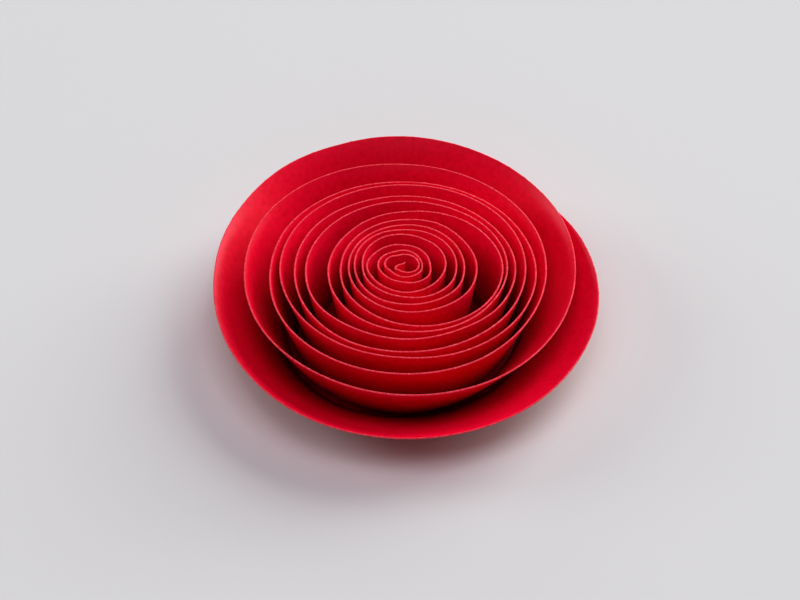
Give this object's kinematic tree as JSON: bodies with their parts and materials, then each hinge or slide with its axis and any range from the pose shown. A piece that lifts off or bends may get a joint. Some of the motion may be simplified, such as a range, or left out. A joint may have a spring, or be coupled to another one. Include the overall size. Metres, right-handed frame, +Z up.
{
  "type": "quilled paper flower",
  "caption": "Rolled flower of red card: a spiral-cut strip coiled on its edge, upright at the core and flaring out to a wide rim, standing on a flat round tab.",
  "frame": {"origin": "middle of the tab's flat underside, on the coil's axis, where the flower rests", "axes": "+Z up along the coil's axis; the strip's last end shows at the right, +X, and -Y is the front"},
  "size_m": [0.0726, 0.0745, 0.0167],
  "materials": {
    "red_card": "matt"
  },
  "bodies": {
    "root": {"paper_flower": "red_card"}
  },
  "joints": []
}
